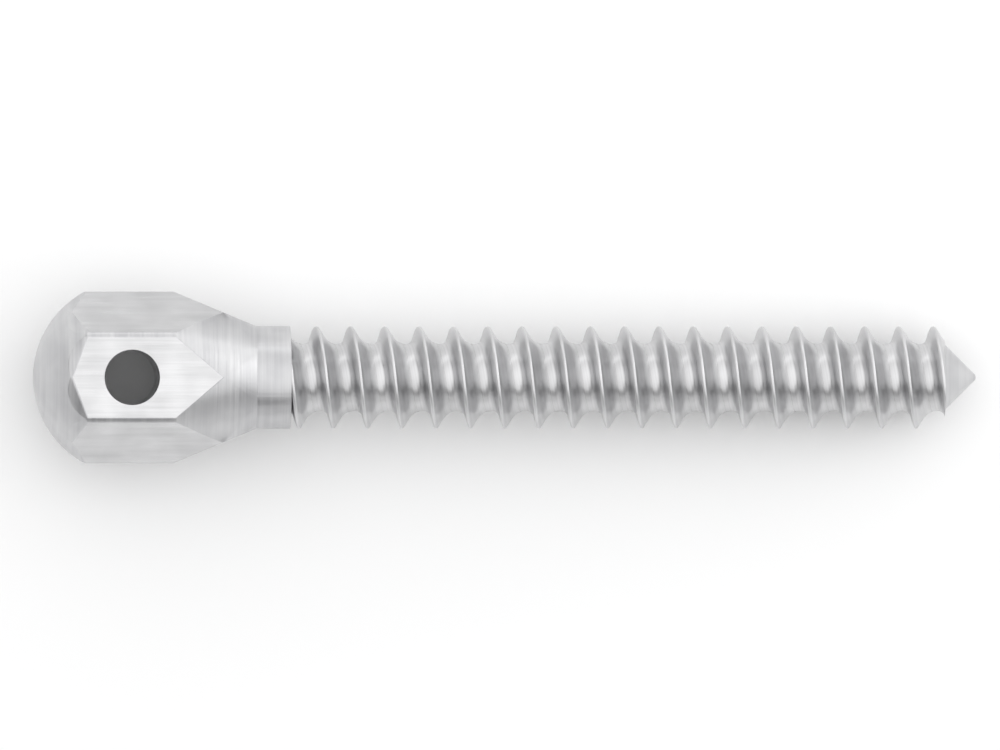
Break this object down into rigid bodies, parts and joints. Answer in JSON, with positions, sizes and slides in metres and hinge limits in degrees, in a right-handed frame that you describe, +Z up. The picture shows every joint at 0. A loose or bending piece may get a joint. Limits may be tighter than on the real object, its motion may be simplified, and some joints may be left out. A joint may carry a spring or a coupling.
{
  "type": "orthodontic mini implant",
  "caption": "Orthodontic mini implant: small bone screw with a domed hexagon head, a ligature hole, a tapered neck, a smooth collar and a right-hand bone thread.",
  "frame": {"origin": "centre of the bounding box's lower face, on the table that the screw lies on", "axes": "+X along the screw towards its tip, which lies about 2 degrees lower than the head; +Z up, out of the flat that the ligature hole opens in"},
  "size_m": [0.0138, 0.0024, 0.0023],
  "materials": {
    "implant_metal": "satin"
  },
  "bodies": {
    "root": {"implant_screw": "implant_metal"}
  },
  "joints": []
}
